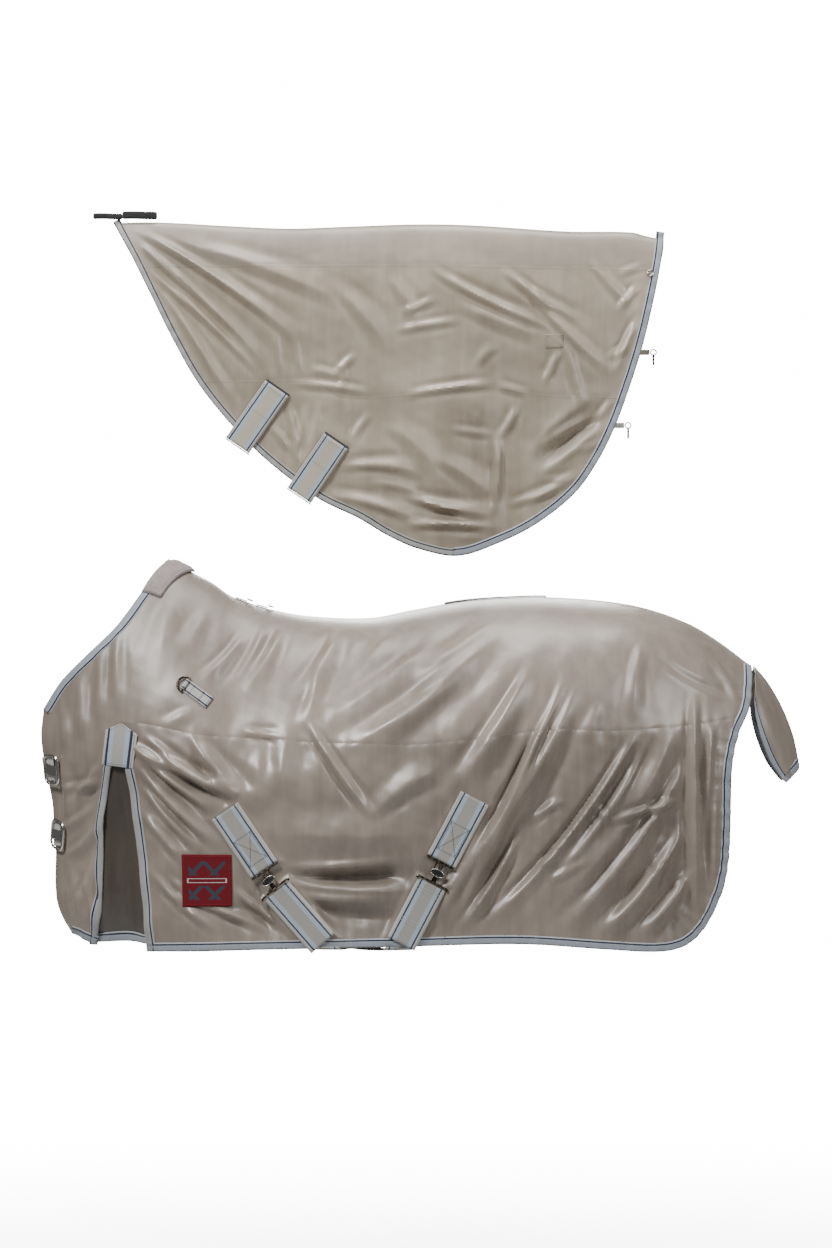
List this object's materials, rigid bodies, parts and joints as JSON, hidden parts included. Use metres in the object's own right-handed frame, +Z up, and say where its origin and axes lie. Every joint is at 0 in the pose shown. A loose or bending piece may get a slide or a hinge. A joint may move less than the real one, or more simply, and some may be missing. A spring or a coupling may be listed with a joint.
{
  "type": "fly sheet",
  "caption": "Horse fly sheet worn as on a horse, with a detachable neck cover above it, tail flap, crossing surcingles and buckled chest.",
  "frame": {"origin": "the horse's withers, on the middle plane, level with the inside of the ridge just behind the neckline", "axes": "+X from head to tail, +Y towards the horse's right (far) side, +Z up"},
  "size_m": [1.6157, 0.561, 1.5686],
  "materials": {
    "bronze_metal": "dark antique bronze, glossy",
    "nickel_metal": "bright nickel with small scratches",
    "black_fitting": "black moulded fitting",
    "hook_and_loop": "black hook and loop tape",
    "striped_webbing": "woven webbing with pale edges, navy lines and light blue bands",
    "edge_binding": "light blue grey ribbed tape with a navy stitched line",
    "gusset_cloth": "dark lining cloth",
    "pad_plush": "short dense plush",
    "red_label": "woven red label with a plain pattern",
    "neck_cloth": "thin shiny fly net cloth, satin",
    "sheet_cloth": "shiny taupe satin polyester"
  },
  "bodies": {
    "sheet": {"belt_sliders": "black_fitting", "chest_billets": "striped_webbing", "chest_buckles": "nickel_metal", "chest_hem_bindings": "edge_binding", "front_cross_belt": "striped_webbing", "front_surcingle_tabs": "striped_webbing", "gusset_front_bindings": "edge_binding", "gusset_inserts": "gusset_cloth", "gusset_patches": "striped_webbing", "gusset_rear_bindings": "edge_binding", "hem_bindings": "edge_binding", "label_patch": "red_label", "left_chest_panel": "sheet_cloth", "left_lower_panel": "sheet_cloth", "left_upper_panel": "sheet_cloth", "neckline_bindings": "edge_binding", "rear_cross_belt": "striped_webbing", "rear_surcingle_tabs": "striped_webbing", "ridge_tape": "striped_webbing", "right_chest_panel": "sheet_cloth", "right_lower_panel": "sheet_cloth", "right_upper_panel": "sheet_cloth", "ring_loops": "striped_webbing", "surcingle_eyes": "bronze_metal", "withers_pad": "pad_plush"},
    "tail_flap": {"tail_flap": "sheet_cloth", "tail_flap_binding": "edge_binding"},
    "left_shoulder_ring": {"left_shoulder_ring": "nickel_metal"},
    "right_shoulder_ring": {"right_shoulder_ring": "nickel_metal"},
    "front_ridge_ring": {"front_ridge_ring": "black_fitting"},
    "rear_ridge_ring": {"rear_ridge_ring": "black_fitting"},
    "left_front_belt": {"left_front_belt_end": "striped_webbing", "left_front_hook": "bronze_metal"},
    "right_front_belt": {"right_front_belt_end": "striped_webbing", "right_front_hook": "bronze_metal"},
    "left_rear_belt": {"left_rear_belt_end": "striped_webbing", "left_rear_hook": "bronze_metal"},
    "right_rear_belt": {"right_rear_belt_end": "striped_webbing", "right_rear_hook": "bronze_metal"},
    "upper_tongue": {"upper_chest_tongue": "nickel_metal"},
    "lower_tongue": {"lower_chest_tongue": "nickel_metal"},
    "neck_cover": {"left_neck_crest": "neck_cloth", "right_neck_crest": "neck_cloth", "left_neck_panel": "neck_cloth", "right_neck_panel": "neck_cloth", "left_neck_lower": "neck_cloth", "right_neck_lower": "neck_cloth", "neck_bindings": "edge_binding", "neck_patch": "sheet_cloth", "throat_bridges": "striped_webbing", "neck_eyelets": "nickel_metal", "poll_pad": "hook_and_loop", "clip_tabs": "striped_webbing"},
    "upper_throat": {"upper_throat_strap": "striped_webbing", "upper_throat_hook_pad": "hook_and_loop"},
    "lower_throat": {"lower_throat_strap": "striped_webbing", "lower_throat_hook_pad": "hook_and_loop"},
    "poll_strap": {"poll_strap": "hook_and_loop"},
    "upper_clip": {"upper_neck_clip": "black_fitting"},
    "lower_clip": {"lower_neck_clip": "black_fitting"}
  },
  "joints": [
    {"name": "tail_flap_lift", "type": "hinge", "parent": "sheet", "child": "tail_flap", "pos_m": [1.19, 0, -0.214], "axis": [0, -1, 0], "range_deg": [0, 60]},
    {"name": "left_shoulder_ring_flip", "type": "hinge", "parent": "sheet", "child": "left_shoulder_ring", "pos_m": [-0.01023, -0.18317, -0.24932], "axis": [0.5636, 0.2836, 0.7758], "range_deg": [0, 120]},
    {"name": "right_shoulder_ring_flip", "type": "hinge", "parent": "sheet", "child": "right_shoulder_ring", "pos_m": [-0.01023, 0.18317, -0.24932], "axis": [-0.5636, 0.2836, -0.7758], "range_deg": [0, 120]},
    {"name": "front_ridge_ring_flip", "type": "hinge", "parent": "sheet", "child": "front_ridge_ring", "pos_m": [0.11845, 0, -0.07002], "axis": [0, -1, 0], "range_deg": [0, 100]},
    {"name": "rear_ridge_ring_flip", "type": "hinge", "parent": "sheet", "child": "rear_ridge_ring", "pos_m": [0.16184, 0, -0.08366], "axis": [0, -1, 0], "range_deg": [0, 100]},
    {"name": "left_front_belt_drop", "type": "hinge", "parent": "sheet", "child": "left_front_belt", "pos_m": [0.283, -0.271, -0.799], "axis": [1, 0, 0], "range_deg": [0, 160]},
    {"name": "right_front_belt_drop", "type": "hinge", "parent": "sheet", "child": "right_front_belt", "pos_m": [0.283, 0.271, -0.799], "axis": [-1, 0, 0], "range_deg": [0, 160]},
    {"name": "left_rear_belt_drop", "type": "hinge", "parent": "sheet", "child": "left_rear_belt", "pos_m": [0.442, -0.2769, -0.799], "axis": [1, 0, 0], "range_deg": [0, 160]},
    {"name": "right_rear_belt_drop", "type": "hinge", "parent": "sheet", "child": "right_rear_belt", "pos_m": [0.442, 0.2769, -0.799], "axis": [-1, 0, 0], "range_deg": [0, 160]},
    {"name": "upper_tongue_lift", "type": "hinge", "parent": "sheet", "child": "upper_tongue", "pos_m": [-0.28744, -0.06475, -0.43473], "axis": [0, -0.2223, 0.975], "range_deg": [0, 90]},
    {"name": "lower_tongue_lift", "type": "hinge", "parent": "sheet", "child": "lower_tongue", "pos_m": [-0.27655, -0.05536, -0.57127], "axis": [0, -0.1048, 0.9945], "range_deg": [0, 90]},
    {"name": "neck_cover_lift_off", "type": "slide", "parent": "sheet", "child": "neck_cover", "axis": [0, 0, 1], "range_m": [0, 0.25]},
    {"name": "upper_throat_peel", "type": "hinge", "parent": "neck_cover", "child": "upper_throat", "pos_m": [0.096, -0.04502, 0.257], "axis": [0.8215, 0, -0.5703], "range_deg": [0, 150]},
    {"name": "lower_throat_peel", "type": "hinge", "parent": "neck_cover", "child": "lower_throat", "pos_m": [0.227, -0.04739, 0.151], "axis": [0.8276, 0, -0.5613], "range_deg": [0, 150]},
    {"name": "poll_strap_fold", "type": "hinge", "parent": "neck_cover", "child": "poll_strap", "pos_m": [-0.15015, 0, 0.752], "axis": [0, 1, 0], "range_deg": [0, 90]},
    {"name": "upper_clip_swing", "type": "hinge", "parent": "neck_cover", "child": "upper_clip", "pos_m": [0.982, 0.0452, 0.458], "axis": [0, 1, 0], "range_deg": [-40, 40]},
    {"name": "lower_clip_swing", "type": "hinge", "parent": "neck_cover", "child": "lower_clip", "pos_m": [0.928, 0.04639, 0.302], "axis": [0, 1, 0], "range_deg": [-40, 40]}
  ]
}
